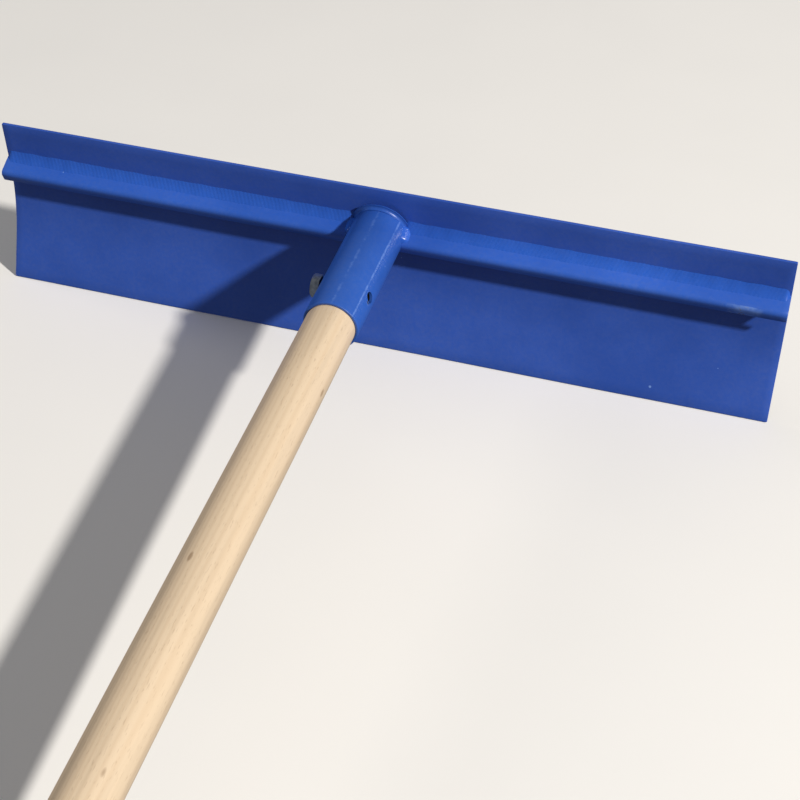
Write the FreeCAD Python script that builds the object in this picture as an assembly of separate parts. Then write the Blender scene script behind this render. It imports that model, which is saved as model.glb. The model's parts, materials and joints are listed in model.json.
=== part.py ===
# Hand concrete placer (come-along): a curved sheet-steel blade with a folded stiffener on each side of
# a round handle socket, a long wooden handle, and the lag screw that holds it.
#
# Everything is drawn in the blade's own frame: X along the working edge, Y away from the user, Z up,
# with the front of the working edge on the X axis. At the end, the finished pieces are turned and moved
# together, so that the tool lies on the plane Z = 0, on its working edge and its handle's free end.

import FreeCAD, Part
import math
import os

from FreeCAD import Vector

# ---- driving dimensions, in millimetres and degrees ----

blade_length = 508.0            # 20 in along the working edge
blade_width = 114.3             # 4 1/2 in, measured along the curved sheet
blade_thickness = 2.0
blade_edge_round = 0.5          # rounding of the sheet's long edges
blade_corner_round = 0.8        # rounding of the blade's four corners, seen from the front
lip_width = 29.6                # flat stretch at the working edge
lip_lean = 11.7                 # the lip leans away from the user
curve_radius = 125.0            # concave face of the bend
curve_angle = 24.2              # turn of the bend, from the lip to the upper band

stiffener_below_top = 24.6      # from the blade's top edge down to where the web's upper face meets it
stiffener_reach = 14.0          # along the web's upper face, from the blade to the lip's outside
stiffener_droop = 31.0          # the web slopes down from the horizontal
stiffener_fold = 90.0           # turn from the web to the lip
stiffener_lip = 8.0             # along the lip's outside, from the web's upper face
stiffener_thickness = 2.0
stiffener_bend = 3.2            # outside radius of the fold between web and lip

socket_outside_radius = 16.9
socket_wall = 1.7
socket_below_top = 30.0         # from the blade's top edge down to the axis, where it crosses Y = 0
socket_droop = 8.9              # the axis falls towards the user, from the blade's normal
socket_reach = 94.3             # from Y = 0 to the mouth, along the axis
socket_mouth_round = 0.4

handle_length = 1524.0          # 60 in
handle_grip_in = 95.0           # length held inside the socket, turned down to fit it
handle_clearance = 0.2          # radial, between the turned-down end and the socket
handle_shoulder = 0.2           # step, on the radius, from the turned-down end to the full-size wood
handle_shoulder_gap = 1.0       # from the socket's mouth to that step
handle_nose_chamfer = 3.0
handle_end_round = 9.0

screw_from_mouth = 33.3         # from the socket's mouth to the screw's axis, on the socket's left side
screw_radius = 3.95             # 5/16 in lag screw
screw_length = 25.4             # under the head
screw_tip = 5.0                 # length of the point
screw_tip_radius = 1.0          # the point's blunt end
screw_head_across_flats = 12.7
screw_head_height = 5.2
screw_head_chamfer = 0.06       # how far the corner cone cuts inside the flats, on the radius
screw_hole_clearance = 0.15     # radial, in the socket's wall
spare_hole_radius = 3.5         # empty hole on the socket's right side, drilled on into the wood
spare_hole_from_mouth = 25.6
spare_hole_turn = 17.0          # up from the socket's right side
spare_hole_depth = 10.0         # from the socket's outside

root_weld_leg = 4.6             # fillet weld along the top of each stiffener
root_weld_end_gap = 1.0         # the bead stops short of the blade's end
tack_leg = 4.0                  # tack welds under each stiffener
tack_length = 14.0
tack_first = 16.0               # from the blade's end to the middle of the first tack
tack_count = 3                  # on each stiffener
tack_last = 60.0                # from the socket's side to the middle of the last tack
side_weld_leg = 4.0             # beads between the stiffeners and the socket
socket_weld_leg = 3.0           # fillet round the socket on the blade
weld_toe = 0.4                  # thickness of that fillet at its outer edge
weld_root = 1.4                 # how far the bead drawings run into the corner, before they are trimmed
root_weld_bulge = -0.12         # hollow face, as a share of the leg
tack_bulge = 0.05               # slightly full face

# ---- derived values ----

socket_inside_radius = socket_outside_radius - socket_wall
tenon_radius = socket_inside_radius - handle_clearance
handle_radius = tenon_radius + handle_shoulder
half_length = blade_length / 2.0
upper_lean = curve_angle - lip_lean
band_width = blade_width - lip_width - math.radians(curve_angle) * curve_radius
screw_reach = socket_reach - screw_from_mouth
spare_hole_reach = socket_reach - spare_hole_from_mouth
handle_start = socket_reach - handle_grip_in
handle_finish = handle_start + handle_length
edge_rounding = min(blade_edge_round, 0.3 * blade_thickness)
handle_rounding = min(handle_end_round, 0.9 * handle_radius)
drill_slack = 5.0               # how far cutting tools run past what they cut
sliver_share = 0.05             # solids under this share of the largest are scraps of the trimming
same_place = 1e-3               # tolerance when an edge is found by its place


def along(angle, distance):
    """Step up the sheet, where angle is the lean away from the user."""
    return Vector(0, distance * math.sin(math.radians(angle)), distance * math.cos(math.radians(angle)))


def outward(angle, distance):
    """Step from the front face towards the back, square to a sheet that leans by angle."""
    return Vector(0, distance * math.cos(math.radians(angle)), -distance * math.sin(math.radians(angle)))


# ---- the blade's section ----

lip_top = along(lip_lean, lip_width)
curve_centre = lip_top - outward(lip_lean, curve_radius)


def on_curve(lean, radius):
    return curve_centre + outward(lean, radius)


band_foot = on_curve(-upper_lean, curve_radius)
band_top = band_foot + along(-upper_lean, band_width)
stiffener_height = band_top.z - stiffener_below_top
socket_height = band_top.z - socket_below_top


def sheet_section(near, far, extra=0.0):
    """Closed section between two depths behind the blade's front face."""
    edge = -along(lip_lean, extra)
    crest = along(-upper_lean, extra)
    middle = lip_lean - curve_angle / 2.0
    points = {}
    for name, depth in (("near", near), ("far", far)):
        points[name] = (
            outward(lip_lean, depth) + edge,
            lip_top + outward(lip_lean, depth),
            on_curve(middle, curve_radius + depth),
            band_foot + outward(-upper_lean, depth),
            band_top + outward(-upper_lean, depth) + crest,
        )
    edges = []
    for low, foot, mid, head, top in points.values():
        edges.append(Part.LineSegment(low, foot).toShape())
        edges.append(Part.Arc(foot, mid, head).toShape())
        edges.append(Part.LineSegment(head, top).toShape())
    edges.append(Part.LineSegment(points["near"][0], points["far"][0]).toShape())
    edges.append(Part.LineSegment(points["near"][4], points["far"][4]).toShape())
    return Part.Face(Part.Wire(Part.__sortEdges__(edges)))


def swept_x(face, start, finish):
    """Extrude a section drawn at X = 0 from one X to another."""
    solid = face.extrude(Vector(finish - start, 0, 0))
    solid.translate(Vector(start, 0, 0))
    return solid


def front_y(z):
    """Depth of the blade's front face at a height."""
    if z <= lip_top.z:
        return z * math.tan(math.radians(lip_lean))
    if z <= band_foot.z:
        rise = z - curve_centre.z
        return curve_centre.y + math.sqrt(curve_radius ** 2 - rise ** 2)
    return band_foot.y - (z - band_foot.z) * math.tan(math.radians(upper_lean))


def lean_at(z):
    """Lean of the blade's front face at a height."""
    if z <= lip_top.z:
        return lip_lean
    if z <= band_foot.z:
        return -math.degrees(math.asin((z - curve_centre.z) / curve_radius))
    return -upper_lean


# ---- the socket's axis ----

axis_way = Vector(0, -math.cos(math.radians(socket_droop)), -math.sin(math.radians(socket_droop)))
axis_foot = Vector(0, 0, socket_height)


def on_axis(distance):
    return axis_foot + axis_way * distance


def rod(radius, start, finish):
    """Cylinder on the socket's axis."""
    return Part.makeCylinder(radius, finish - start, on_axis(start), axis_way)


def behind_blade():
    """Everything from the blade's front face back, to trim what ends on that face."""
    face = sheet_section(0.0, curve_radius, 2.0 * socket_outside_radius)
    return swept_x(face, -half_length - drill_slack, half_length + drill_slack)


# ---- pieces ----

def make_blade():
    sheet = swept_x(sheet_section(0.0, blade_thickness), -half_length, half_length)
    corners = [e for e in sheet.Edges if is_corner_edge(e)]
    sheet = sheet.makeFillet(blade_corner_round, corners)
    rims = [e for e in sheet.Edges if is_long_rim(e)]
    return sheet.makeFillet(edge_rounding, rims)


def is_corner_edge(edge):
    """Short edges through the thickness, at the sheet's four corners."""
    box = edge.BoundBox
    at_end = abs(abs(box.Center.x) - half_length) < same_place and box.XLength < same_place
    at_lip = (edge.CenterOfMass - outward(lip_lean, blade_thickness / 2.0)).z
    at_top = (edge.CenterOfMass - band_top - outward(-upper_lean, blade_thickness / 2.0)).z
    return at_end and min(abs(at_lip), abs(at_top)) < same_place


def is_long_rim(edge):
    """The four straight edges along the working edge and the top edge."""
    return edge.BoundBox.XLength > blade_length / 2.0 and is_rim_height(edge.CenterOfMass)


def is_rim_height(point):
    rims = []
    for depth in (0.0, blade_thickness):
        rims.append(outward(lip_lean, depth))
        rims.append(band_top + outward(-upper_lean, depth))
    return min(math.hypot(point.y - r.y, point.z - r.z) for r in rims) < same_place


def web_ways():
    """Directions out along the web, and down square to it."""
    slope = math.radians(stiffener_droop)
    return Vector(0, -math.cos(slope), -math.sin(slope)), Vector(0, math.sin(slope), -math.cos(slope))


def web_point(distance, depth):
    """A point on the stiffener: distance along its upper face from the blade, depth below that face."""
    out, down = web_ways()
    return Vector(0, front_y(stiffener_height), stiffener_height) + out * distance + down * depth


def web_flat():
    """Length of the web's flat upper face, up to the fold."""
    return stiffener_reach - stiffener_bend * math.tan(math.radians(stiffener_fold) / 2.0)


def stiffener_section():
    """Web and turned-down lip, drawn as one bent strip whose root runs back through the blade."""
    out, down = web_ways()
    turn = math.radians(stiffener_fold)
    lip_way = out * math.cos(turn) + down * math.sin(turn)
    lip_flat = stiffener_lip - stiffener_bend * math.tan(turn / 2.0)
    centre = web_point(web_flat(), stiffener_bend)
    buried = 2.0 * stiffener_thickness
    edges = []
    ends = []
    for radius in (stiffener_bend, stiffener_bend - stiffener_thickness):
        depth = stiffener_bend - radius
        start = web_point(-buried, depth)
        bend_in = web_point(web_flat(), depth)
        middle = centre - down * (radius * math.cos(turn / 2.0)) + out * (radius * math.sin(turn / 2.0))
        bend_out = centre - down * (radius * math.cos(turn)) + out * (radius * math.sin(turn))
        tail = bend_out + lip_way * lip_flat
        edges.append(Part.LineSegment(start, bend_in).toShape())
        edges.append(Part.Arc(bend_in, middle, bend_out).toShape())
        edges.append(Part.LineSegment(bend_out, tail).toShape())
        ends.append((start, tail))
    edges.append(Part.LineSegment(ends[0][0], ends[1][0]).toShape())
    edges.append(Part.LineSegment(ends[0][1], ends[1][1]).toShape())
    return Part.Face(Part.Wire(Part.__sortEdges__(edges)))


def make_stiffener(side, backing, tube_space):
    bar = swept_x(stiffener_section(), min(0, side * half_length), max(0, side * half_length))
    trimmed = bar.cut(backing).cut(tube_space)
    return largest(trimmed)


def largest(shape):
    return max(shape.Solids, key=lambda solid: solid.Volume)


def make_socket(backing):
    start = -2.0 * socket_outside_radius
    tube = rod(socket_outside_radius, start, socket_reach).cut(
        rod(socket_inside_radius, start - drill_slack, socket_reach + drill_slack))
    mouth = [e for e in tube.Edges if is_mouth_edge(e)]
    tube = tube.makeFillet(min(socket_mouth_round, 0.3 * socket_wall), mouth)
    tube = tube.cut(backing)
    hole = screw_bar(screw_radius + screw_hole_clearance, -drill_slack, socket_outside_radius)
    return largest(tube.cut(hole).cut(spare_bar()))


def is_mouth_edge(edge):
    centre = edge.BoundBox.Center
    return isinstance(edge.Curve, Part.Circle) and (centre - on_axis(socket_reach)).Length < same_place


def screw_bar(radius, start, finish):
    """Cylinder on the screw's axis, measured from the socket's left side towards its right side."""
    foot = on_axis(screw_reach) + Vector(start - socket_outside_radius, 0, 0)
    return Part.makeCylinder(radius, finish - start, foot, Vector(1, 0, 0))


def spare_bar():
    """Cylinder that drills the empty hole."""
    turn = math.radians(spare_hole_turn)
    up = Vector(0, axis_way.z, -axis_way.y)
    way = Vector(math.cos(turn), 0, 0) + up * math.sin(turn)
    foot = on_axis(spare_hole_reach) + way * (socket_outside_radius - spare_hole_depth)
    return Part.makeCylinder(spare_hole_radius, spare_hole_depth + drill_slack, foot, way)


def screw_shank():
    """Plain shank and point, of the thread's outer radius."""
    shank = screw_bar(screw_radius, 0, screw_length - screw_tip)
    tip_foot = on_axis(screw_reach) + Vector(screw_length - screw_tip - socket_outside_radius, 0, 0)
    tip = Part.makeCone(screw_radius, screw_tip_radius, screw_tip, tip_foot, Vector(1, 0, 0))
    return shank.fuse(tip)


def hex_head():
    """Head with its corners turned off by a cone, as on a forged screw."""
    corner = screw_head_across_flats / math.sqrt(3.0)
    foot = on_axis(screw_reach) + Vector(-socket_outside_radius - screw_head_height, 0, 0)
    points = []
    for index in range(7):
        turn = math.radians(60.0 * index + 30.0)
        points.append(foot + Vector(0, corner * math.cos(turn), corner * math.sin(turn)))
    head = Part.Face(Part.makePolygon(points)).extrude(Vector(screw_head_height, 0, 0))
    top_radius = screw_head_across_flats / 2.0 - screw_head_chamfer
    cone = Part.makeCone(top_radius, top_radius + 2.0 * screw_head_height, screw_head_height, foot,
                         Vector(1, 0, 0))
    return head.common(cone)


def make_screw():
    return hex_head().fuse(screw_shank()).removeSplitter()


def make_handle(screw):
    shoulder = socket_reach + handle_shoulder_gap
    pole = rod(handle_radius, shoulder, handle_finish).fuse(rod(tenon_radius, handle_start, shoulder))
    inner = [e for e in pole.Edges if (e.BoundBox.Center - on_axis(handle_start)).Length < same_place]
    pole = pole.makeChamfer(handle_nose_chamfer, inner)
    outer = [e for e in pole.Edges if (e.BoundBox.Center - on_axis(handle_finish)).Length < same_place]
    pole = pole.makeFillet(handle_rounding, outer)
    return largest(pole.cut(spare_bar()).cut(screw))


def bead_section(corner, first, second, leg, bulge):
    """Section of a fillet weld: its legs run out from the corner along two ways, and its root is buried."""
    one = corner + first * leg
    two = corner + second * leg
    mid = (one + two) * 0.5 + (mid_way(first, second) * (bulge * leg))
    root = corner - mid_way(first, second) * weld_root
    edges = [
        Part.Arc(one, mid, two).toShape(),
        Part.LineSegment(two, root).toShape(),
        Part.LineSegment(root, one).toShape(),
    ]
    return Part.Face(Part.Wire(Part.__sortEdges__(edges)))


def mid_way(first, second):
    way = first + second
    return way / way.Length


def make_root_weld(side, blockers):
    """Fillet weld in the crease between the blade and the top of a stiffener."""
    out, _ = web_ways()
    up = along(lean_at(stiffener_height), 1.0)
    face = bead_section(web_point(0, 0), out, up, root_weld_leg, root_weld_bulge)
    far = side * (half_length - root_weld_end_gap)
    bead = swept_x(face, min(0, far), max(0, far))
    return trim(bead, blockers)


def trim(shape, blockers):
    for blocker in blockers:
        shape = shape.cut(blocker)
    return largest(shape)


def make_tacks(blockers):
    """Short beads in the corner under each stiffener."""
    out, _ = web_ways()
    root = web_point(0, stiffener_thickness)
    height = root.z + (front_y(root.z) - root.y) * 0.5
    corner = Vector(0, front_y(height), height)
    face = bead_section(corner, out, along(lean_at(height), -1.0), tack_leg, tack_bulge)
    first = half_length - tack_first
    last = socket_outside_radius + tack_last
    tacks = []
    for side in (-1, 1):
        for index in range(tack_count):
            middle = side * (first + (last - first) * index / (tack_count - 1))
            bead = swept_x(face, middle - tack_length / 2.0, middle + tack_length / 2.0)
            tacks.append(trim(bead, blockers))
    return Part.makeCompound(tacks)


def make_socket_weld(blockers):
    """Fillet round the tube, on the blade, turned about the tube's axis."""
    junction = -front_y(socket_height) / math.cos(math.radians(socket_droop))
    up = Vector(0, axis_way.z, -axis_way.y)
    wide = socket_outside_radius + socket_weld_leg
    corners = (
        on_axis(junction + socket_weld_leg) + up * socket_outside_radius,
        on_axis(junction + weld_toe) + up * wide,
        on_axis(junction - socket_weld_leg) + up * wide,
        on_axis(junction - socket_weld_leg) + up * socket_outside_radius,
    )
    face = Part.Face(Part.makePolygon(corners + corners[:1]))
    ring = face.revolve(axis_foot, axis_way, 360.0)
    for blocker in blockers:
        ring = ring.cut(blocker)
    return keep_beads(ring)


def keep_beads(shape):
    """Drop slivers, and keep every real bead as its own solid."""
    least = sliver_share * largest(shape).Volume
    return Part.makeCompound([solid for solid in shape.Solids if solid.Volume > least])


def web_meets_tube(distance):
    """Where the web's upper face meets the right side of the tube, distance out from the blade."""
    point = web_point(distance, 0)
    offset = point - axis_foot
    clear = offset - axis_way * offset.dot(axis_way)
    return Vector(math.sqrt(socket_outside_radius ** 2 - clear.Length ** 2), point.y, point.z)


def make_side_welds(blockers):
    """One bead on each side, in the corner between the tube and the stiffener's web."""
    inner = web_meets_tube(0)
    outer = web_meets_tube(web_flat())
    beads = []
    for side in (-1, 1):
        start = Vector(side * inner.x, inner.y, inner.z)
        finish = Vector(side * outer.x, outer.y, outer.z)
        bead = Part.makeCylinder(side_weld_leg, (finish - start).Length, start, finish - start)
        beads.append(trim(bead, blockers))
    return Part.makeCompound(beads)


# ---- the pose at rest ----

def rest_turn():
    """Angle about X that lays the tool on its working edge and its handle's rounded end."""
    up = Vector(0, axis_way.z, -axis_way.y)
    end_centre = on_axis(handle_finish - handle_rounding) - up * (handle_radius - handle_rounding)
    edge_centre = outward(lip_lean, blade_thickness - edge_rounding) + along(lip_lean, edge_rounding)
    rise = edge_centre.z - end_centre.z
    run = edge_centre.y - end_centre.y
    drop = edge_rounding - handle_rounding
    return math.degrees(math.asin(drop / math.hypot(rise, run)) - math.atan2(rise, run))


def to_rest(shape, turn):
    matrix = FreeCAD.Matrix()
    matrix.rotateX(math.radians(turn))
    return shape.transformShape(matrix, True)


def moved(shape, step):
    matrix = FreeCAD.Matrix()
    matrix.move(step)
    return shape.transformShape(matrix, True)


def build():
    backing = behind_blade()
    tube_space = rod(socket_outside_radius, -2.0 * socket_outside_radius, socket_reach)
    parts = {"blade": make_blade()}
    for side, name in ((-1, "left"), (1, "right")):
        parts["stiffener_" + name] = make_stiffener(side, backing, tube_space)
    stiffeners = [parts["stiffener_left"], parts["stiffener_right"]]
    blockers = [backing, tube_space] + stiffeners
    for side, name in ((-1, "left"), (1, "right")):
        parts["stiffener_weld_" + name] = make_root_weld(side, blockers)
    blockers += [parts["stiffener_weld_left"], parts["stiffener_weld_right"]]
    parts["stiffener_tacks"] = make_tacks(blockers)
    parts["socket_side_welds"] = make_side_welds(blockers)
    parts["socket"] = make_socket(backing)
    parts["socket_weld"] = make_socket_weld(blockers + [parts["socket_side_welds"]])
    parts["handle"] = make_handle(screw_shank())
    parts["handle_screw"] = make_screw()
    return parts


def finish(parts):
    turn = rest_turn()
    turned = {name: to_rest(shape, turn) for name, shape in parts.items()}
    box = Part.makeCompound(list(turned.values())).optimalBoundingBox(False, False)
    step = Vector(0, -box.Center.y, -box.ZMin)
    return {name: moved(shape, step) for name, shape in turned.items()}


os.makedirs("parts", exist_ok=True)
for name, shape in finish(build()).items():
    shape.exportStep("parts/" + name + ".step")
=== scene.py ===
import json
import math

import bmesh
import bpy
from mathutils import Matrix, Vector, noise


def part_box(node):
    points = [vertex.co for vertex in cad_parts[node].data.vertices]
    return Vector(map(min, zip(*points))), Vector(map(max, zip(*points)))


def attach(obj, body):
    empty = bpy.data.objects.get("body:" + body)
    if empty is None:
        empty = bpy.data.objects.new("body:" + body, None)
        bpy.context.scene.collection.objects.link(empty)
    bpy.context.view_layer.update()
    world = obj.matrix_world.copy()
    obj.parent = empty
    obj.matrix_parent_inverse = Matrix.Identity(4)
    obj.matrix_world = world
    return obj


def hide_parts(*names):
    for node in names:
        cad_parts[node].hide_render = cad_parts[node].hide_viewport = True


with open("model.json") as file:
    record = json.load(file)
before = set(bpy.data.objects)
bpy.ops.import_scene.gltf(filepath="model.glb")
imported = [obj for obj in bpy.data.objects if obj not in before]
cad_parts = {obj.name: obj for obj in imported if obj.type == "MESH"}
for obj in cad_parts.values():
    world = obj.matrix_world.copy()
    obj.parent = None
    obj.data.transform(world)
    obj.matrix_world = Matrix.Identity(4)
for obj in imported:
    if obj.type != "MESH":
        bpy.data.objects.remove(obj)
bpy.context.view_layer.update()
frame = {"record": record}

# Pieces are drawn in millimetres in the blade's own frame: X along the working edge, Y away from the user,
# Z up, with the front of the working edge at the origin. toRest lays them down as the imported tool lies.

blade = {
    "length": 508.0,
    "width": 114.3,          # along the curved sheet
    "thickness": 2.0,
    "cornerRound": 0.8,
    "edgeRound": 0.45,
    "lip": 29.6,             # flat stretch at the working edge
    "lipLean": math.radians(11.7),
    "curveRadius": 125.0,
    "curveAngle": math.radians(24.2),
    "buckle": 0.35,          # how far welding and use have pulled the sheet out of true
    "buckleSpan": 95.0,
    "buckleShift": 3.1,
}

socket = {
    "radius": 16.9,
    "wall": 1.7,
    "belowTop": 30.0,        # from the blade's top edge down to its axis, in the plane of the working edge
    "droop": math.radians(8.9),
    "reach": 94.3,
    "seamAngle": math.radians(37.0),   # of the tube's own weld seam, up from its right side
    "seamWidth": 1.3,
    "seamRise": 0.35,
    "seamWander": 0.4,
    "seamWanderSpan": 6.0,
    "seamWear": 1.8,
    "outOfRound": 0.10,
    "crownAngle": math.radians(87),    # painted highlight: a lighter rubbed streak along the top stands in for the sky's reflection
    "crownSpan": math.radians(14),
    "crownPaintedHighlight": 0.70,
    "rimRound": 0.4,
    "sides": 144,
}

upperLean = blade["curveAngle"] - blade["lipLean"]


# Places on the tool

def along(lean, distance):
    return Vector((0, distance * math.sin(lean), distance * math.cos(lean)))


def outward(lean, distance):
    return Vector((0, distance * math.cos(lean), -distance * math.sin(lean)))


lipTop = along(blade["lipLean"], blade["lip"])
curveCentre = lipTop - outward(blade["lipLean"], blade["curveRadius"])
bandFoot = curveCentre + outward(-upperLean, blade["curveRadius"])
bandWidth = blade["width"] - blade["lip"] - blade["curveAngle"] * blade["curveRadius"]
bandTop = bandFoot + along(-upperLean, bandWidth)
socketHeight = bandTop.z - socket["belowTop"]


def frontY(z):    # depth of the blade's front face at a height
    if z <= lipTop.z:
        return z * math.tan(blade["lipLean"])
    if z <= bandFoot.z:
        return curveCentre.y + math.sqrt(blade["curveRadius"] ** 2 - (z - curveCentre.z) ** 2)
    return bandFoot.y - (z - bandFoot.z) * math.tan(upperLean)


axisWay = Vector((0, -math.cos(socket["droop"]), -math.sin(socket["droop"])))
axisUp = Vector((0, axisWay.z, -axisWay.y))
sideWay = Vector((1, 0, 0))


def onAxis(distance):
    return Vector((0, 0, socketHeight)) + axisWay * distance


grip = frame["record"]["mounts"][0]    # the handle's full-size length, from the socket's mouth to its end
gripWay = Vector(grip["axis"])
gripLength = grip["dims"]["length_mm"]
gripRadius = grip["dims"]["r_mm"]
gripStart = socket["reach"] + 1.0
restTurn = math.asin(-gripWay.z) - socket["droop"]
toRest = (Matrix.Translation(grip["pos_m"]) @ Matrix.Rotation(restTurn, 4, "X") @ Matrix.Scale(0.001, 4)
          @ Matrix.Translation(-onAxis(gripStart + gripLength / 2)))


# Small tools

def newest(result, kind):
    return [item for item in result["geom"] if isinstance(item, kind)]


def pullEdges(bm, edges, way, steps=1):    # extrudes a row of edges in equal steps
    for _ in range(steps):
        made = bmesh.ops.extrude_edge_only(bm, edges=edges)
        bmesh.ops.translate(bm, vec=way / steps, verts=newest(made, bmesh.types.BMVert))
        edges = newest(made, bmesh.types.BMEdge)
    return [edge for edge in edges if edge.is_valid]


def bendEdges(bm, edges, centre, angle, steps):    # carries a row of edges round a fold that runs along X
    ends = list({vert for edge in edges for vert in edge.verts})
    made = bmesh.ops.spin(bm, geom=ends + edges, cent=centre, axis=sideWay, angle=angle, steps=steps)
    return [item for item in made["geom_last"] if isinstance(item, bmesh.types.BMEdge)]


def sharpEdges(bm, least=math.radians(50)):
    return [edge for edge in bm.edges if edge.is_manifold and edge.calc_face_angle(0) > least]


def roundEdges(bm, edges, offset, segments=3):
    bmesh.ops.bevel(bm, geom=edges, offset=offset, offset_type="OFFSET", affect="EDGES",
                    segments=segments, profile=0.5, material=-1, clamp_overlap=True)


fullWearTurn = math.radians(35)    # an outside edge that turns this much is worn as far as edges are worn


def layPiece(bm, name, finish, nodes, smoothUnder=35, edgeWear=1.0):
    bmesh.ops.recalc_face_normals(bm, faces=bm.faces[:])
    wearAndPaintedHighlight = bm.verts.layers.float.get("wearAndPaintedHighlight") or bm.verts.layers.float.new("wearAndPaintedHighlight")
    for vert in bm.verts:
        turns = [edge.calc_face_angle_signed(0) for edge in vert.link_edges if edge.is_manifold]
        vert[wearAndPaintedHighlight] = max(vert[wearAndPaintedHighlight], edgeWear * min(1.0, max(turns + [0]) / fullWearTurn))
    for face in bm.faces:
        face.smooth = True
    for edge in bm.edges:
        edge.smooth = edge.calc_face_angle(0) < math.radians(smoothUnder)
    bm.transform(toRest)
    mesh = bpy.data.meshes.new(name)
    bm.to_mesh(mesh)
    bm.free()
    piece = bpy.data.objects.new(name, mesh)
    bpy.context.scene.collection.objects.link(piece)
    mesh.materials.append(finish)
    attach(piece, "root")
    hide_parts(*nodes)
    return piece


def carve(bm, tool, operation):    # boolean of two closed meshes; both are used up
    pair = []
    for part, name in ((bm, "carved"), (tool, "carver")):
        mesh = bpy.data.meshes.new(name)
        part.to_mesh(mesh)
        part.free()
        pair.append(bpy.data.objects.new(name, mesh))
        bpy.context.scene.collection.objects.link(pair[-1])
    cut = pair[0].modifiers.new("cut", "BOOLEAN")
    cut.operation = operation
    cut.solver = "EXACT"
    cut.object = pair[1]
    bpy.context.view_layer.update()
    result = bpy.data.meshes.new_from_object(pair[0].evaluated_get(bpy.context.evaluated_depsgraph_get()))
    for part in pair:
        bpy.data.objects.remove(part)
    carved = bmesh.new()
    carved.from_mesh(result)
    bpy.data.meshes.remove(result)
    return carved


def crossBar(radius, start, finish, sides=32):    # a rod on the screw's axis, from left to right
    bm = bmesh.new()
    middle = onAxis(screw["reach"]) + sideWay * ((start + finish) / 2)
    place = Matrix.Translation(middle) @ Matrix.Rotation(math.pi / 2, 4, "Y")
    bmesh.ops.create_cone(bm, cap_ends=True, segments=sides, radius1=radius, radius2=radius,
                          depth=finish - start, matrix=place)
    return bm


# Finishes

def fromHex(code):    # sRGB hex to linear
    parts = [int(code[i:i + 2], 16) / 255 for i in (1, 3, 5)]
    return [p / 12.92 if p <= 0.04045 else ((p + 0.055) / 1.055) ** 2.4 for p in parts] + [1.0]


def addNode(tree, kind, sockets=None, stops=None, **settings):
    node = tree.nodes.new(kind)
    for name, value in settings.items():
        setattr(node, name, value)
    for name, value in (sockets or {}).items():
        if isinstance(value, bpy.types.NodeSocket):
            tree.links.new(value, node.inputs[name])
        else:
            node.inputs[name].default_value = value
    for index, (place, colour) in enumerate(stops or []):
        ramp = node.color_ramp.elements
        stop = ramp[index] if index < 2 else ramp.new(place)
        stop.position = place
        stop.color = colour
    return node


def startFinish(name):
    finish = bpy.data.materials.new(name)
    finish.use_nodes = True
    tree = finish.node_tree
    tree.nodes.clear()
    output = addNode(tree, "ShaderNodeOutputMaterial")
    return finish, tree, output


def blend(tree, share, first, second):    # colour mix
    mixer = addNode(tree, "ShaderNodeMix", data_type="RGBA", blend_type="MIX")
    for name, value in ((0, share), (6, first), (7, second)):
        if isinstance(value, bpy.types.NodeSocket):
            tree.links.new(value, mixer.inputs[name])
        else:
            mixer.inputs[name].default_value = value
    return mixer.outputs[2]


enamel = {
    "bladeTones": ("#2450b2", "#285ac6"),
    # lighter than the blade's blue: painted light for the sun falling more squarely on the stiffeners and
    # weld beads
    "framePaintedLightTones": ("#2156b9", "#2460cc"),
    "tubeTones": ("#1c4ea8", "#205abb"),
    "rubbedAndPaintedHighlight": "#7396dc",       # thin paint over raised edges, and the painted highlight along the tube's top
    "dust": "#8b8f96",         # dried cement film
    "steel": "#8f8c88",
    "filmFeature": 0.10,       # metres: size of the cloudy patches in the dust
    "peelFeature": 0.0022,     # metres: orange peel
    "speckSpacing": 0.011,
    "gritPerMetre": 420.0,     # of the dust's fine grain
    "speckMixPerMetre": 60.0,  # how the specks' sizes change from place to place
    "raggedPerMetre": 160.0,   # of the torn edge of worn paint
}


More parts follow.
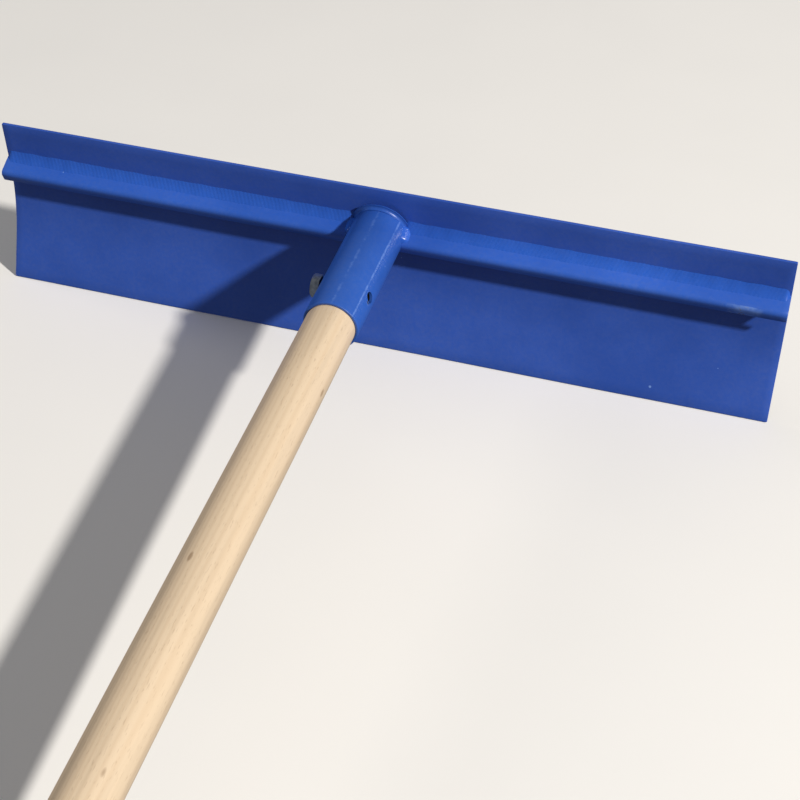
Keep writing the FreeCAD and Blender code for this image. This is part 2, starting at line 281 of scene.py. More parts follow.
def sprayedEnamel(name, tones, dustShare, roughness):
    # Gloss alkyd enamel sprayed on hot-rolled steel: a deep even blue with a soft orange peel, a dry bloom
    # of cement dust over it, paint rubbed thin on edges, and a few pale nicks where it has chipped.
    # The same rubbed blue and bare steel also paint a highlight along the tube's top and a glint beside its
    # empty hole.
    finish, tree, output = startFinish(name)
    place = addNode(tree, "ShaderNodeTexCoord").outputs["Object"]
    clouds = addNode(tree, "ShaderNodeTexNoise", {"Vector": place, "Scale": 1 / enamel["filmFeature"],
                                                  "Detail": 4.0, "Roughness": 0.6}).outputs["Fac"]
    fine = addNode(tree, "ShaderNodeTexNoise", {"Vector": place, "Scale": enamel["gritPerMetre"],
                                                "Detail": 3.0, "Roughness": 0.7}).outputs["Fac"]
    tone = addNode(tree, "ShaderNodeValToRGB", {"Fac": clouds},
                   [(0.35, fromHex(tones[0])), (0.65, fromHex(tones[1]))]).outputs["Color"]
    film = addNode(tree, "ShaderNodeMapRange", {"Value": clouds, "From Min": 0.3, "From Max": 0.75,
                                                "To Min": 0.45 * dustShare, "To Max": 1.35 * dustShare})
    grit = addNode(tree, "ShaderNodeMapRange", {"Value": fine, "From Min": 0.35, "From Max": 0.8,
                                                "To Min": 0.6, "To Max": 1.6})
    dust = addNode(tree, "ShaderNodeMath", {0: film.outputs[0], 1: grit.outputs[0]}, operation="MULTIPLY")
    dusty = blend(tree, dust.outputs[0], tone, fromHex(enamel["dust"]))

    specks = addNode(tree, "ShaderNodeTexVoronoi", {"Vector": place, "Scale": 1 / enamel["speckSpacing"],
                                                    "Randomness": 1.0})
    speckSize = addNode(tree, "ShaderNodeTexNoise", {"Vector": place, "Scale": enamel["speckMixPerMetre"],
                                                     "Detail": 1.0})
    speckEdge = addNode(tree, "ShaderNodeMapRange", {"Value": speckSize.outputs["Fac"], "From Min": 0.52,
                                                     "From Max": 0.72, "To Min": 0.0, "To Max": 0.075})
    speck = addNode(tree, "ShaderNodeMath", {0: specks.outputs["Distance"], 1: speckEdge.outputs[0]},
                    operation="LESS_THAN")
    specked = blend(tree, speck.outputs[0], dusty, fromHex(enamel["rubbedAndPaintedHighlight"]))

    # this attribute holds real edge, seam and nick wear, plus the painted highlight on the tube's top and the
    # painted glint beside its empty hole
    edge = addNode(tree, "ShaderNodeAttribute", attribute_name="wearAndPaintedHighlight").outputs["Fac"]
    ragged = addNode(tree, "ShaderNodeTexNoise", {"Vector": place, "Scale": enamel["raggedPerMetre"],
                                                  "Detail": 5.0, "Roughness": 0.72}).outputs["Fac"]
    wornAndPaintedHighlight = addNode(tree, "ShaderNodeMath", {0: edge, 1: ragged}, operation="MULTIPLY").outputs[0]
    rubAndPaintedHighlight = addNode(tree, "ShaderNodeMapRange", {"Value": wornAndPaintedHighlight, "From Min": 0.28, "From Max": 0.62,
                                               "To Min": 0.0, "To Max": 0.7})
    rubbedAndPaintedHighlight = blend(tree, rubAndPaintedHighlight.outputs[0], specked, fromHex(enamel["rubbedAndPaintedHighlight"]))
    bareAndPaintedGlint = addNode(tree, "ShaderNodeMapRange", {"Value": wornAndPaintedHighlight, "From Min": 0.60, "From Max": 0.64,
                                                "To Min": 0.0, "To Max": 1.0}).outputs[0]
    colour = blend(tree, bareAndPaintedGlint, rubbedAndPaintedHighlight, fromHex(enamel["steel"]))

    gloss = addNode(tree, "ShaderNodeMapRange", {"Value": dust.outputs[0], "From Min": 0.0, "From Max": 0.3,
                                                 "To Min": roughness, "To Max": 0.62})
    peel = addNode(tree, "ShaderNodeTexNoise", {"Vector": place, "Scale": 1 / enamel["peelFeature"],
                                                "Detail": 1.5})
    peelBump = addNode(tree, "ShaderNodeBump", {"Height": peel.outputs["Fac"], "Strength": 0.10,
                                                "Distance": 0.0004})
    chipBump = addNode(tree, "ShaderNodeBump", {"Height": bareAndPaintedGlint, "Strength": 0.5, "Distance": 0.0002,
                                                "Normal": peelBump.outputs[0]}, invert=True)
    shader = addNode(tree, "ShaderNodeBsdfPrincipled", {
        "Base Color": colour, "Metallic": bareAndPaintedGlint, "Roughness": gloss.outputs[0], "IOR": 1.5,
        "Normal": chipBump.outputs[0]})
    tree.links.new(shader.outputs[0], output.inputs["Surface"])
    return finish


wood = {
    "early": "#dfc9ac",
    "late": "#ccb190",
    "grey": "#a99883",
    "pore": "#8d6f52",
    "holeShade": "#16110d",         # painted shade: near-black on the wood inside the empty hole
    "ringSpacing": 0.0024,
    "treeOffset": 0.055,       # metres from the handle's axis to the heart of the tree
    "runOut": math.radians(1.1),
    "stretch": 0.045,          # fineness along the grain over fineness across it
    "streaksPerMetre": 130.0,
    "poresPerMetre": 1900.0,
    "poreStretch": 0.11,
    "marksPerMetre": 42.0,     # of the few small dark marks
    "markStretch": 0.35,
    "roughness": 0.5,
}


def turnedAsh():
    # Ash, turned and sanded, with one thin coat of clear lacquer: pale, long growth-ring lines that run out
    # slowly, short dark pores along the grain, a little grey dirt, and a low even sheen.
    finish, tree, output = startFinish("turned ash, thin clear lacquer")
    place = addNode(tree, "ShaderNodeTexCoord").outputs["Object"]
    lengthwise = (toRest.to_3x3() @ axisWay).normalized().to_track_quat("Z", "Y").to_euler()
    centred = addNode(tree, "ShaderNodeMapping", {"Vector": place, "Location": toRest @ onAxis(gripStart),
                                                  "Rotation": lengthwise}, vector_type="TEXTURE").outputs[0]
    tilted = addNode(tree, "ShaderNodeMapping", {
        "Vector": centred, "Location": (wood["treeOffset"], wood["treeOffset"] * 0.6, 0),
        "Rotation": (wood["runOut"], wood["runOut"] * 0.5, 0)}).outputs[0]
    drawn = addNode(tree, "ShaderNodeMapping", {"Vector": tilted,
                                                "Scale": (1, 1, wood["stretch"])}).outputs[0]
    rings = addNode(tree, "ShaderNodeTexWave", {
        "Vector": drawn, "Scale": 2 * math.pi / (20 * wood["ringSpacing"]), "Distortion": 5.0, "Detail": 2.0,
        "Detail Scale": 0.5, "Detail Roughness": 0.6}, wave_type="RINGS", rings_direction="Z").outputs["Fac"]
    ringTone = addNode(tree, "ShaderNodeMapRange", {"Value": rings, "From Min": 0.3, "From Max": 1.0,
                                                    "To Min": 0.0, "To Max": 0.3}).outputs[0]
    ringed = blend(tree, ringTone, fromHex(wood["early"]), fromHex(wood["late"]))

    broad = addNode(tree, "ShaderNodeTexNoise", {"Vector": drawn, "Scale": wood["streaksPerMetre"],
                                                 "Detail": 3.0}).outputs["Fac"]
    streak = addNode(tree, "ShaderNodeMapRange", {"Value": broad, "From Min": 0.45, "From Max": 0.8,
                                                  "To Min": 0.0, "To Max": 0.5}).outputs[0]
    streaked = blend(tree, streak, ringed, fromHex(wood["grey"]))

    dashes = addNode(tree, "ShaderNodeMapping", {"Vector": centred,
                                                 "Scale": (1, 1, wood["poreStretch"])}).outputs[0]
    pores = addNode(tree, "ShaderNodeTexNoise", {"Vector": dashes, "Scale": wood["poresPerMetre"],
                                                 "Detail": 1.0}).outputs["Fac"]
    pore = addNode(tree, "ShaderNodeMapRange", {"Value": pores, "From Min": 0.63, "From Max": 0.74,
                                                "To Min": 0.0, "To Max": 0.28}).outputs[0]
    pored = blend(tree, pore, streaked, fromHex(wood["pore"]))

    marks = addNode(tree, "ShaderNodeMapping", {"Vector": centred,
                                                "Scale": (1, 1, wood["markStretch"])}).outputs[0]
    cells = addNode(tree, "ShaderNodeTexVoronoi", {"Vector": marks,
                                                   "Scale": wood["marksPerMetre"]}).outputs["Distance"]
    mark = addNode(tree, "ShaderNodeMapRange", {"Value": cells, "From Min": 0.035, "From Max": 0.06,
                                                "To Min": 0.6, "To Max": 0.0}).outputs[0]
    colour = blend(tree, mark, pored, fromHex(wood["pore"]))

    sheen = addNode(tree, "ShaderNodeMapRange", {"Value": broad, "From Min": 0.3, "From Max": 0.8,
                                                 "To Min": wood["roughness"] - 0.06,
                                                 "To Max": wood["roughness"] + 0.14}).outputs[0]
    grainBump = addNode(tree, "ShaderNodeBump", {"Height": pores, "Strength": 0.25, "Distance": 0.0002})
    ringBump = addNode(tree, "ShaderNodeBump", {"Height": rings, "Strength": 0.05, "Distance": 0.0002,
                                                "Normal": grainBump.outputs[0]})
    # painted shade: the wood inside the empty hole is darkened to near-black
    holeShaded = addNode(tree, "ShaderNodeAttribute", attribute_name="holeShade").outputs["Fac"]
    colour = blend(tree, holeShaded, colour, fromHex(wood["holeShade"]))
    shader = addNode(tree, "ShaderNodeBsdfPrincipled", {
        "Base Color": colour, "Roughness": sheen, "IOR": 1.5, "Coat Weight": 0.12, "Coat Roughness": 0.35,
        "Normal": ringBump.outputs[0]})
    tree.links.new(shader.outputs[0], output.inputs["Surface"])
    return finish


zinc = {"bright": "#c9ccd0", "dull": "#9fa3a6", "roughness": 0.32, "mottlePerMetre": 380.0}


def brightZinc():
    # Bright zinc plate on a cold-headed screw: cool silver, faintly mottled, with fine dull handling marks.
    finish, tree, output = startFinish("bright zinc plate on a forged screw")
    place = addNode(tree, "ShaderNodeTexCoord").outputs["Object"]
    mottle = addNode(tree, "ShaderNodeTexNoise", {"Vector": place, "Scale": zinc["mottlePerMetre"],
                                                  "Detail": 4.0}).outputs["Fac"]
    tone = addNode(tree, "ShaderNodeValToRGB", {"Fac": mottle},
                   [(0.35, fromHex(zinc["dull"])), (0.65, fromHex(zinc["bright"]))]).outputs["Color"]
    dull = addNode(tree, "ShaderNodeMapRange", {"Value": mottle, "From Min": 0.3, "From Max": 0.7,
                                                "To Min": zinc["roughness"] + 0.12,
                                                "To Max": zinc["roughness"] - 0.06}).outputs[0]
    bump = addNode(tree, "ShaderNodeBump", {"Height": mottle, "Strength": 0.15, "Distance": 0.0001})
    shader = addNode(tree, "ShaderNodeBsdfPrincipled", {
        "Base Color": tone, "Metallic": 1.0, "Roughness": dull, "Normal": bump.outputs[0]})
    tree.links.new(shader.outputs[0], output.inputs["Surface"])
    return finish


bladePaint = sprayedEnamel("gloss enamel on the blade, with cement bloom", enamel["bladeTones"],
                           dustShare=0.10, roughness=0.36)
# the stiffeners' lighter blue is painted light on the blade's own enamel, not a second paint
framePaint = sprayedEnamel("gloss enamel, sprayed on steel", enamel["framePaintedLightTones"],
                           dustShare=0.09, roughness=0.33)
tubePaint = sprayedEnamel("gloss enamel, sprayed on welded tube", enamel["tubeTones"],
                          dustShare=0.07, roughness=0.30)
beadPaint = sprayedEnamel("gloss enamel pooled on weld beads", enamel["framePaintedLightTones"],
                          dustShare=0.05, roughness=0.22)
ash = turnedAsh()
plate = brightZinc()
print("finishes made")


# The blade

def bladeSheet():
    half = blade["length"] / 2
    bm = bmesh.new()
    edges = [bm.edges.new([bm.verts.new((x, 0, 0)) for x in (-half, half)])]
    edges = pullEdges(bm, edges, along(blade["lipLean"], blade["lip"]), 4)
    edges = bendEdges(bm, edges, curveCentre, blade["curveAngle"], 14)
    pullEdges(bm, edges, along(-upperLean, bandWidth), 5)
    lengthwise = [edge for edge in bm.edges if abs(edge.verts[0].co.x - edge.verts[1].co.x) > half]
    bmesh.ops.subdivide_edges(bm, edges=lengthwise, cuts=99, use_grid_fill=True)
    corners = [vert for vert in bm.verts if len(vert.link_faces) == 1]
    bmesh.ops.bevel(bm, geom=corners, offset=blade["cornerRound"], offset_type="OFFSET", affect="VERTICES",
                    segments=5, profile=0.5, material=-1)
    for vert in bm.verts:
        spot = Vector((vert.co.x, 0, vert.co.z)) / blade["buckleSpan"]
        vert.co.y += blade["buckle"] * noise.noise(spot + Vector((blade["buckleShift"], 0, 0)))
    bmesh.ops.recalc_face_normals(bm, faces=bm.faces[:])
    if bm.faces[0].normal.y < 0:
        bmesh.ops.reverse_faces(bm, faces=bm.faces[:])
    bmesh.ops.solidify(bm, geom=bm.faces[:], thickness=-blade["thickness"])
    bmesh.ops.recalc_face_normals(bm, faces=bm.faces[:])
    roundEdges(bm, sharpEdges(bm), blade["edgeRound"], 2)
    layPiece(bm, "blade_sheet", bladePaint, ["blade"], edgeWear=0.3)


bladeSheet()
print("blade made")


# The stiffeners, their welds and tacks

stiffener = {
    "belowTop": 24.6,          # from the blade's top edge down to the web's upper face
    "reach": 14.0,
    "droop": math.radians(31),
    "fold": math.radians(90),
    "lip": 8.0,
    "thickness": 2.0,
    "bend": 3.2,
    "edgeRound": 0.4,
    "bury": 0.6,               # how far its root runs into the blade's face
    "bow": 0.25,
    "bowSpan": 70.0,
    "nickPlace": 229.0,        # along X: the paint on the fold is nicked here
    "nickSpan": 24.0,
    "nickBand": 0.12,          # share of the reach, to each side of the fold
    "nickWear": 1.2,
}

webOut = Vector((0, -math.cos(stiffener["droop"]), -math.sin(stiffener["droop"])))
webDown = Vector((0, math.sin(stiffener["droop"]), -math.cos(stiffener["droop"])))
webHeight = bandTop.z - stiffener["belowTop"]
webRoot = Vector((0, frontY(webHeight), webHeight))
lipWay = webOut * math.cos(stiffener["fold"]) + webDown * math.sin(stiffener["fold"])
bendTangent = stiffener["bend"] * math.tan(stiffener["fold"] / 2)
webFlat = stiffener["reach"] - bendTangent


def tubeSide(point):    # how far out the tube's side is, level with a point
    offset = point - onAxis(0)
    clear = offset - axisWay * offset.dot(axisWay)
    return math.sqrt(max(0, socket["radius"] ** 2 - clear.y ** 2 - clear.z ** 2))


def stiffenerBar(side, name, node):
    far = side * blade["length"] / 2
    near = side * socket["radius"]
    bm = bmesh.new()
    wearAndPaintedHighlight = bm.verts.layers.float.new("wearAndPaintedHighlight")
    root = webRoot - webOut * stiffener["bury"]
    edges = [bm.edges.new([bm.verts.new(root + sideWay * x) for x in (near, far)])]
    edges = pullEdges(bm, edges, webOut * (webFlat + stiffener["bury"]), 3)
    centre = webRoot + webOut * webFlat + webDown * stiffener["bend"]
    edges = bendEdges(bm, edges, centre, stiffener["fold"], 6)
    pullEdges(bm, edges, lipWay * (stiffener["lip"] - bendTangent), 1)
    lengthwise = [edge for edge in bm.edges if abs(edge.verts[0].co.x - edge.verts[1].co.x) > abs(far) / 2]
    bmesh.ops.subdivide_edges(bm, edges=lengthwise, cuts=59, use_grid_fill=True)
    bmesh.ops.recalc_face_normals(bm, faces=bm.faces[:])
    if sum(face.normal.z for face in bm.faces) > 0:
        bmesh.ops.reverse_faces(bm, faces=bm.faces[:])
    bmesh.ops.solidify(bm, geom=bm.faces[:], thickness=-stiffener["thickness"])
    bmesh.ops.recalc_face_normals(bm, faces=bm.faces[:])
    roundEdges(bm, sharpEdges(bm), stiffener["edgeRound"], 2)
    for vert in bm.verts:
        if abs(vert.co.x - near) < 2 * stiffener["edgeRound"]:
            vert.co.x = side * tubeSide(vert.co)
        share = (webRoot - vert.co).dot(-webOut) / stiffener["reach"]
        wave = noise.noise(Vector((vert.co.x / stiffener["bowSpan"], 7.0 * side, 0)))
        if abs(share - 1) < stiffener["nickBand"]:
            off = abs(vert.co.x - stiffener["nickPlace"])
            vert[wearAndPaintedHighlight] = stiffener["nickWear"] * max(0, 1 - off / stiffener["nickSpan"])
        vert.co += webDown * (stiffener["bow"] * wave * max(0, min(1, share)))
    layPiece(bm, name, framePaint, [node], edgeWear=0.4)


weld = {
    "rootLeg": 4.6,
    "rootFullness": -0.08,     # share of the leg that the bead bulges by; below nought it is hollow
    "rootEndGap": 1.0,
    "rootOverlap": 0.5,        # into the tube
    "tackLeg": 4.0,
    "tackFullness": 0.1,
    "tackLength": 14.0,
    "tackFirst": 16.0,
    "tackLast": 60.0,
    "tackCount": 3,
    "sideLeg": 4.0,
    "sideFullness": 0.12,
    "sideLean": 0.35,          # of its upper leg, in towards the top of the tube
    "sideOverrun": 1.0,        # past the web's flat
    "socketLeg": 2.4,
    "rippleSpacing": 2.6,
    "ripple": 0.13,
    "rippleSlant": 0.25,
    "socketRippleSpacing": 2.4,
    "socketRipple": 0.04,
    "taper": 3.0,              # length over which a bead's end is rounded off
    "wander": 0.12,            # share of its size that a bead gains and loses along its run
    "wanderSpan": 9.0,
    "socketWander": 0.25,      # millimetres
    "bury": 0.35,              # share of the leg that runs into the corner
    "socketBury": 0.8,         # millimetres into the tube
}


def runBead(bm, start, finish, ways, leg, fullness):
    # A bead in a corner: its legs run out from the line start-finish along the two ways.
    travel = finish - start
    steps = max(6, round(travel.length / (weld["rippleSpacing"] / 4)))
    face = (ways[0] + ways[1]).normalized()
    section = [face * (-weld["bury"] * leg)]
    for turn in range(7):
        share = turn / 6
        flat = ways[0] * (leg * (1 - share)) + ways[1] * (leg * share)
        section.append(flat + face * (fullness * leg * math.sin(math.pi * share)))
    verts = [bm.verts.new(start + point) for point in section]
    edges = [bm.edges.new((verts[i], verts[(i + 1) % len(verts)])) for i in range(len(verts))]
    bmesh.ops.contextual_create(bm, geom=edges)
    made = bmesh.ops.spin(bm, geom=verts + edges, cent=start, axis=travel.normalized(), angle=0,
                          dvec=travel / steps, steps=steps)
    bmesh.ops.contextual_create(bm, geom=[e for e in made["geom_last"] if isinstance(e, bmesh.types.BMEdge)])


def ripple(bm, start, travel, ways, leg, seed):    # rounds a bead's ends off and shapes its surface
    way = travel.normalized()
    face = (ways[0] + ways[1]).normalized()
    for vert in bm.verts:
        if vert.tag:
            continue
        vert.tag = True
        distance = (vert.co - start).dot(way)
        off = vert.co - start - way * distance
        outside = max(0, off.dot(face)) / leg
        slant = off.dot(ways[0] - ways[1]) * weld["rippleSlant"]
        puddle = math.cos(2 * math.pi * (distance + slant) / weld["rippleSpacing"])
        wander = noise.noise(Vector((distance / weld["wanderSpan"], seed, 0)))
        nearest = max(0, min(distance, travel.length - distance))
        ends = min(1, nearest / weld["taper"])
        size = math.sqrt(max(0.05, 1 - (1 - ends) ** 2)) * (1 + weld["wander"] * wander)
        vert.co = start + way * distance + off * size + face * (weld["ripple"] * puddle * outside)


def upBlade(z, sign):    # along the blade's face at a height
    step = 0.5
    return Vector((0, frontY(z + step) - frontY(z - step), 2 * step)).normalized() * sign


def beads(name, node, runs):
    bm = bmesh.new()
    for seed, (start, finish, ways, leg, fullness) in enumerate(runs):
        runBead(bm, start, finish, ways, leg, fullness)
        ripple(bm, start, finish - start, ways, leg, seed * 5.3)
    layPiece(bm, name, beadPaint, [node], 60, edgeWear=0)


def rootRun(side):
    ways = (webOut, upBlade(webHeight, 1))
    near = webRoot + sideWay * side * (tubeSide(webRoot) - weld["rootOverlap"])
    far = webRoot + sideWay * side * (blade["length"] / 2 - weld["rootEndGap"])
    return near, far, ways, weld["rootLeg"], weld["rootFullness"]


def tackRuns():
    corner = webRoot + webDown * stiffener["thickness"]
    corner = Vector((0, frontY(corner.z), corner.z))
    ways = (webOut, upBlade(corner.z, -1))
    first = blade["length"] / 2 - weld["tackFirst"]
    last = socket["radius"] + weld["tackLast"]
    for side in (-1, 1):
        for index in range(weld["tackCount"]):
            middle = corner + sideWay * side * (first + (last - first) * index / (weld["tackCount"] - 1))
            reach = sideWay * (weld["tackLength"] / 2)
            yield middle - reach, middle + reach, ways, weld["tackLeg"], weld["tackFullness"]


def sideRuns():
    for side in (-1, 1):
        inner = webRoot.copy()
        outer = webRoot + webOut * (webFlat + weld["sideOverrun"])
        inner.x = side * tubeSide(inner)
        outer.x = side * tubeSide(outer)
        upTube = (axisUp - sideWay * side * weld["sideLean"]).normalized()
        yield inner, outer, (sideWay * side, upTube), weld["sideLeg"], weld["sideFullness"]


for side, name in ((-1, "left"), (1, "right")):
    stiffenerBar(side, "stiffener_bar_" + name, "stiffener_" + name)
    beads("weld_bead_" + name, "stiffener_weld_" + name, [rootRun(side)])
beads("tack_welds", "stiffener_tacks", list(tackRuns()))
beads("side_weld_beads", "socket_side_welds", list(sideRuns()))
print("stiffeners and their welds made")


# The socket

screw = {
    "reach": socket["reach"] - 33.3,
    "radius": 3.95,
    "core": 2.9,
    "length": 25.4,
    "tip": 5.0,
    "pitch": 2.8,
    "threadStart": 2.0,     # from under the head
    "threadHalfWidth": 0.32,
    "threadSteps": 28,      # straight stretches in one turn
    "acrossFlats": 12.7,
    "head": 5.2,
    "headRound": 0.12,
    "headSlope": 2.2,       # of the cone that turns off the head's corners
    "holeClearance": 0.15,
}

shankEnd = screw["length"] - screw["tip"] - socket["radius"]    # along X, where the screw's point begins

spareHole = {
    "reach": socket["reach"] - 25.6,
    "radius": 3.5,
    "turn": math.radians(17),    # up from the socket's right side
    "depth": 10.0,
    "paintedGlintStart": 3.4,            # a painted glint beside the hole: bare steel standing in for its sunlit rim, drawn as a burr, along the socket from its middle
    "paintedGlintEnd": 6.4,
    "paintedGlintHalfAngle": 0.09,
    "paintedGlintWear": 1.9,
}

drillReach = 22.0    # cutting tools start this far from the socket's axis, outside its wall


def spareWay():    # along the empty hole, out of the tool
    return sideWay * math.cos(spareHole["turn"]) + axisUp * math.sin(spareHole["turn"])


def spareFoot():
    middle = onAxis(spareHole["reach"])
    return middle - spareWay() * middle.dot(spareWay())


def spareBar():    # drills the empty hole on the right side, on into the wood
    way = spareWay()
    inner = socket["radius"] - spareHole["depth"]
    middle = onAxis(spareHole["reach"]) + way * (inner + drillReach) / 2
    place = Matrix.Translation(middle) @ way.to_track_quat("Z", "Y").to_matrix().to_4x4()
    bm = bmesh.new()
    bmesh.ops.create_cone(bm, cap_ends=True, segments=40, radius1=spareHole["radius"],
                          radius2=spareHole["radius"], depth=drillReach - inner, matrix=place)
    return bm


def slideToBlade(vert):    # moves a point along the tube's axis until it is on the blade's face
    for _ in range(4):
        gap = vert.co.y - frontY(vert.co.z)
        vert.co -= axisWay * (gap / axisWay.y)


def socketTube():
    bm = bmesh.new()
    wearAndPaintedHighlight = bm.verts.layers.float.new("wearAndPaintedHighlight")
    place = Matrix.Translation(onAxis(socket["reach"])) @ axisWay.to_track_quat("Z", "Y").to_matrix().to_4x4()
    bmesh.ops.create_circle(bm, segments=socket["sides"], radius=socket["radius"], matrix=place)
    foot = pullEdges(bm, bm.edges[:], axisWay * -socket["reach"], 40)
    footVerts = {vert for edge in foot for vert in edge.verts}
    for vert in bm.verts:
        spoke = vert.co - onAxis((vert.co - onAxis(0)).dot(axisWay))
        angle = math.atan2(spoke.dot(axisUp), spoke.x)
        off = abs(angle - socket["seamAngle"]) * socket["radius"]
        distance = (vert.co - onAxis(0)).dot(axisWay)
        wander = noise.noise(Vector((distance / socket["seamWanderSpan"], 0, 0)))
        ridge = max(0, 1 - off / socket["seamWidth"]) * (0.8 + socket["seamWander"] * wander)
        spot = Vector((math.cos(angle), math.sin(angle), distance / 60.0)) * 1.3
        flatten = socket["outOfRound"] * noise.noise(spot)
        vert.co += spoke.normalized() * (socket["seamRise"] * ridge + flatten)
        # painted highlight: a lighter streak of rubbed blue along the tube's top stands in for the sky's
        # reflection
        crownHighlight = max(0, 1 - abs(angle - socket["crownAngle"]) / socket["crownSpan"])
        fromHole = distance - spareHole["reach"]
        # painted glint: a bare-steel spot beside the empty hole stands in for its sunlit rim
        paintedGlint = (abs(angle - spareHole["turn"]) < spareHole["paintedGlintHalfAngle"]
                and spareHole["paintedGlintStart"] < fromHole < spareHole["paintedGlintEnd"])
        vert[wearAndPaintedHighlight] = max(min(1, socket["seamWear"] * ridge), socket["crownPaintedHighlight"] * crownHighlight,
                         spareHole["paintedGlintWear"] * paintedGlint)
    for vert in footVerts:
        slideToBlade(vert)
    bmesh.ops.recalc_face_normals(bm, faces=bm.faces[:])
    middle = bm.faces[0]
    spoke = middle.calc_center_median() - onAxis(socket["reach"])
    if middle.normal.dot(spoke) > 0:
        bmesh.ops.reverse_faces(bm, faces=bm.faces[:])
    bmesh.ops.solidify(bm, geom=bm.faces[:], thickness=-socket["wall"])
    bmesh.ops.recalc_face_normals(bm, faces=bm.faces[:])
    rims = [e for e in sharpEdges(bm) if (e.verts[0].co - onAxis(0)).dot(axisWay) > socket["reach"] - 1]
    roundEdges(bm, rims, socket["rimRound"], 3)
    bm = carve(bm, crossBar(screw["radius"] + screw["holeClearance"], -drillReach, 0), "DIFFERENCE")
    bm = carve(bm, spareBar(), "DIFFERENCE")
    layPiece(bm, "socket_tube", tubePaint, ["socket"], edgeWear=0.25)


def socketWeld():
    bm = bmesh.new()
    leg = weld["socketLeg"]
    junction = frontY(socketHeight) / axisWay.y
    corner = onAxis(junction) + axisUp * socket["radius"]
    section = [corner - axisUp * weld["socketBury"] + axisWay * leg, corner + axisWay * leg]
    for turn in range(1, 6):
        share = turn / 6
        hollow = 0.2 * leg * math.sin(math.pi * share)
        section.append(corner + axisUp * (leg * share - hollow) + axisWay * (leg * (1 - share) - hollow))
    section.append(corner + axisUp * leg + axisWay * 0.1)
    section.append(corner + axisUp * leg - axisWay * 0.5)
    section.append(corner - axisUp * weld["socketBury"] - axisWay * 0.5)
    verts = [bm.verts.new(point) for point in section]
    edges = [bm.edges.new((verts[i], verts[(i + 1) % len(verts)])) for i in range(len(verts))]
    bmesh.ops.spin(bm, geom=verts + edges, cent=onAxis(0), axis=axisWay, angle=2 * math.pi, steps=160,
                   use_merge=True)
    for vert in bm.verts:
        distance = (vert.co - onAxis(0)).dot(axisWay)
        spoke = vert.co - onAxis(distance)
        angle = math.atan2(spoke.dot(axisUp), spoke.x)
        puddle = math.cos(angle * socket["radius"] * 2 * math.pi / weld["socketRippleSpacing"])
        bead = puddle * max(0, spoke.length - socket["radius"])
        wander = noise.noise(spoke / 6.0)
        vert.co += spoke.normalized() * (weld["socketRipple"] * bead + weld["socketWander"] * wander)
        vert.co.y += frontY(vert.co.z) - frontY(socketHeight)
    layPiece(bm, "socket_weld_bead", tubePaint, ["socket_weld"], 60, edgeWear=0)


socketTube()
socketWeld()
print("socket made")


# The handle and its screw

handle = {
    "start": socket["reach"] - 95.0,
    "length": 1524.0,
    "clearance": 0.2,
    "noseChamfer": 3.0,
    "endRound": 9.0,
    "outOfRound": 0.16,
    "roundSpan": 14.0,         # across the handle, and the next one along it
    "lengthSpan": 130.0,
}


def ashHandle():
    tenon = socket["radius"] - socket["wall"] - handle["clearance"]
    finish = handle["start"] + handle["length"]
    profile = [(handle["start"], 0), (handle["start"], tenon), (gripStart, tenon), (gripStart, gripRadius),
               (finish, gripRadius), (finish, 0)]
    bm = bmesh.new()
    verts = [bm.verts.new(onAxis(distance) + axisUp * radius) for distance, radius in profile]
    edges = [bm.edges.new(pair) for pair in zip(verts, verts[1:])]
    bmesh.ops.subdivide_edges(bm, edges=[edges[3]], cuts=150)
    bmesh.ops.subdivide_edges(bm, edges=[edges[1]], cuts=10)
    bmesh.ops.spin(bm, geom=bm.verts[:] + bm.edges[:], cent=onAxis(0), axis=axisWay, angle=2 * math.pi,
                   steps=96, use_merge=True)
    bmesh.ops.remove_doubles(bm, verts=bm.verts[:], dist=0.001)
    bmesh.ops.recalc_face_normals(bm, faces=bm.faces[:])

    def ringAt(distance):
        return [e for e in sharpEdges(bm) if all(abs((v.co - onAxis(distance)).dot(axisWay)) < 0.01
                                                 for v in e.verts)]
    roundEdges(bm, ringAt(finish), handle["endRound"], 9)
    roundEdges(bm, ringAt(handle["start"]), handle["noseChamfer"], 1)
    for vert in bm.verts:
        distance = (vert.co - onAxis(0)).dot(axisWay)
        spoke = vert.co - onAxis(distance)
        if spoke.length > 1e-6 and distance > gripStart + 3:
            spot = Vector((spoke.x / handle["roundSpan"], spoke.dot(axisUp) / handle["roundSpan"],
                           distance / handle["lengthSpan"]))
            vert.co += spoke.normalized() * (handle["outOfRound"] * noise.noise(spot))
    bm = carve(bm, crossBar(screw["radius"], -drillReach, shankEnd), "DIFFERENCE")
    bm = carve(bm, spareBar(), "DIFFERENCE")
    # marks the wood inside the empty hole for its painted shade
    holeShade = bm.verts.layers.float.new("holeShade")
    for vert in bm.verts:
        vert[holeShade] = float((vert.co - spareWay() * vert.co.dot(spareWay()) - spareFoot()).length
                           < spareHole["radius"] + 0.1)
    layPiece(bm, "ash_handle", ash, ["handle"])


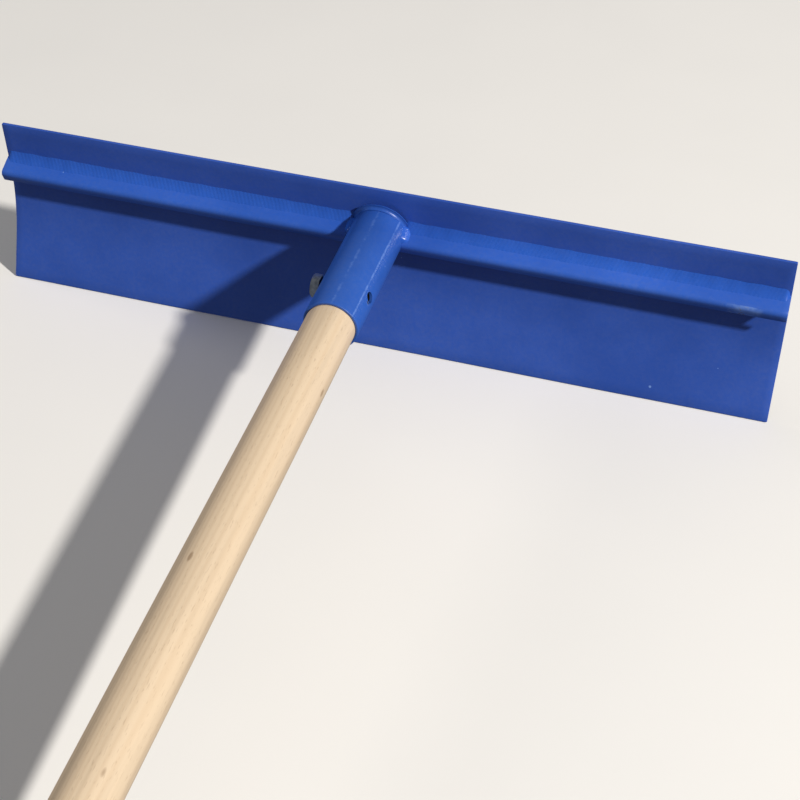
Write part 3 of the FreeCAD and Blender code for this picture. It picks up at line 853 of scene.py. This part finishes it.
def lagScrew():
    corner = screw["acrossFlats"] / math.sqrt(3)
    middle = onAxis(screw["reach"]) - sideWay * (socket["radius"] + screw["head"] / 2)
    place = Matrix.Translation(middle) @ Matrix.Rotation(math.pi / 2, 4, "Y")
    head = bmesh.new()
    bmesh.ops.create_cone(head, cap_ends=True, segments=6, radius1=corner, radius2=corner,
                          depth=screw["head"], matrix=place)
    forged = bmesh.new()    # the cone that turns off the corners
    top = screw["acrossFlats"] / 2 - 0.06
    bmesh.ops.create_cone(forged, cap_ends=True, segments=96, radius1=top,
                          radius2=top + screw["headSlope"] * screw["head"],
                          depth=screw["head"] * 1.02, matrix=place)
    bm = carve(head, forged, "INTERSECT")
    roundEdges(bm, sharpEdges(bm, math.radians(40)), screw["headRound"], 2)
    shank = crossBar(screw["core"], -socket["radius"] - 0.5, shankEnd)
    tip = bmesh.new()
    tipMiddle = onAxis(screw["reach"]) + sideWay * (screw["length"] - screw["tip"] / 2 - socket["radius"])
    bmesh.ops.create_cone(tip, cap_ends=True, segments=32, radius1=screw["core"], radius2=0.5,
                          depth=screw["tip"], matrix=Matrix.Translation(tipMiddle)
                          @ Matrix.Rotation(math.pi / 2, 4, "Y"))
    for extra in (shank, tip):
        mesh = bpy.data.meshes.new("extra")
        extra.to_mesh(mesh)
        extra.free()
        bm.from_mesh(mesh)
        bpy.data.meshes.remove(mesh)
    cutThread(bm)
    layPiece(bm, "lag_screw", plate, ["handle_screw"], 40)


def cutThread(bm):    # a ridge wound round the core
    start = onAxis(screw["reach"]) + sideWay * (screw["threadStart"] - socket["radius"])
    half = screw["pitch"] * screw["threadHalfWidth"]
    section = [(-half, screw["core"] - 0.2), (0, screw["radius"]), (half, screw["core"] - 0.2)]
    verts = [bm.verts.new(start + sideWay * x + axisUp * r) for x, r in section]
    edges = [bm.edges.new((verts[i], verts[(i + 1) % 3])) for i in range(3)]
    bmesh.ops.contextual_create(bm, geom=edges)
    turns = (screw["length"] - screw["tip"] - 4.0) / screw["pitch"]
    steps = round(turns * screw["threadSteps"])
    made = bmesh.ops.spin(bm, geom=verts + edges, cent=start, axis=sideWay, angle=2 * math.pi * turns,
                          dvec=sideWay * (screw["pitch"] * turns / steps), steps=steps)
    bmesh.ops.contextual_create(bm, geom=[e for e in made["geom_last"] if isinstance(e, bmesh.types.BMEdge)])


ashHandle()
lagScrew()
print("handle and screw made")


# Studio

studio = {
    "floor": "#f4f3f1",
    "floorSize": 7.0,
    "floorCloudsPerMetre": 9.0,
    "skyColour": "#e6eefc",
    "skyStrength": 0.16,
    "keyWay": Vector((0.743, -0.323, 0.587)),
    "keyDistance": 5.0,
    "keySize": 0.3,
    "keyPower": 302.0,
    "keyColour": "#fffaf2",
    "fillWay": Vector((-0.97, 0.04, 0.25)),
    "fillDistance": 6.0,
    "fillSize": 3.6,
    "fillPower": 184.0,
    "fillColour": "#fff6ea",
}

camera = {
    "place": (0.2629, -0.1063, 0.6958),
    "turn": (50.345, -0.821, 16.640),
    "lens": 78.70,
}


def paleFloor():
    finish, tree, output = startFinish("pale painted floor")
    place = addNode(tree, "ShaderNodeTexCoord").outputs["Object"]
    cloud = addNode(tree, "ShaderNodeTexNoise", {"Vector": place, "Scale": studio["floorCloudsPerMetre"],
                                                 "Detail": 4.0}).outputs["Fac"]
    rough = addNode(tree, "ShaderNodeMapRange", {"Value": cloud, "From Min": 0.3, "From Max": 0.7,
                                                 "To Min": 0.6, "To Max": 0.75}).outputs[0]
    shader = addNode(tree, "ShaderNodeBsdfPrincipled", {"Base Color": fromHex(studio["floor"]),
                                                        "Roughness": rough})
    tree.links.new(shader.outputs[0], output.inputs["Surface"])
    bm = bmesh.new()
    bmesh.ops.create_circle(bm, cap_ends=True, segments=96, radius=studio["floorSize"])
    mesh = bpy.data.meshes.new("floor")
    bm.to_mesh(mesh)
    bm.free()
    mesh.materials.append(finish)
    floor = bpy.data.objects.new("floor", mesh)
    bpy.context.scene.collection.objects.link(floor)
    floor.visible_diffuse = False    # the floor throws no light up at the tool
    floor.visible_glossy = False


def softLight():
    world = bpy.data.worlds.new("sky")
    world.use_nodes = True
    sky = world.node_tree.nodes["Background"]
    sky.inputs["Color"].default_value = fromHex(studio["skyColour"])
    sky.inputs["Strength"].default_value = studio["skyStrength"]
    bpy.context.scene.world = world
    for lamp in ("key", "fill"):
        light = bpy.data.lights.new(lamp, "AREA")
        light.shape = "DISK"
        light.size = studio[lamp + "Size"]
        light.energy = studio[lamp + "Power"]
        light.color = fromHex(studio[lamp + "Colour"])[:3]
        holder = bpy.data.objects.new(lamp, light)
        way = studio[lamp + "Way"].normalized()
        holder.location = (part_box("blade")[0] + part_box("blade")[1]) / 2 + way * studio[lamp + "Distance"]
        holder.rotation_euler = way.to_track_quat("Z", "Y").to_euler()
        holder.visible_glossy = lamp == "key"    # the fill leaves no glints of its own
        bpy.context.scene.collection.objects.link(holder)


def takeView():
    lens = bpy.data.cameras.new("camera")
    lens.lens = camera["lens"]
    lens.sensor_width = 36.0
    lens.clip_start = 0.01
    viewer = bpy.data.objects.new("camera", lens)
    viewer.location = camera["place"]
    viewer.rotation_euler = [math.radians(angle) for angle in camera["turn"]]
    bpy.context.scene.collection.objects.link(viewer)
    bpy.context.scene.camera = viewer


paleFloor()
softLight()
takeView()
bpy.context.scene.view_settings.view_transform = "Standard"
print("studio ready")
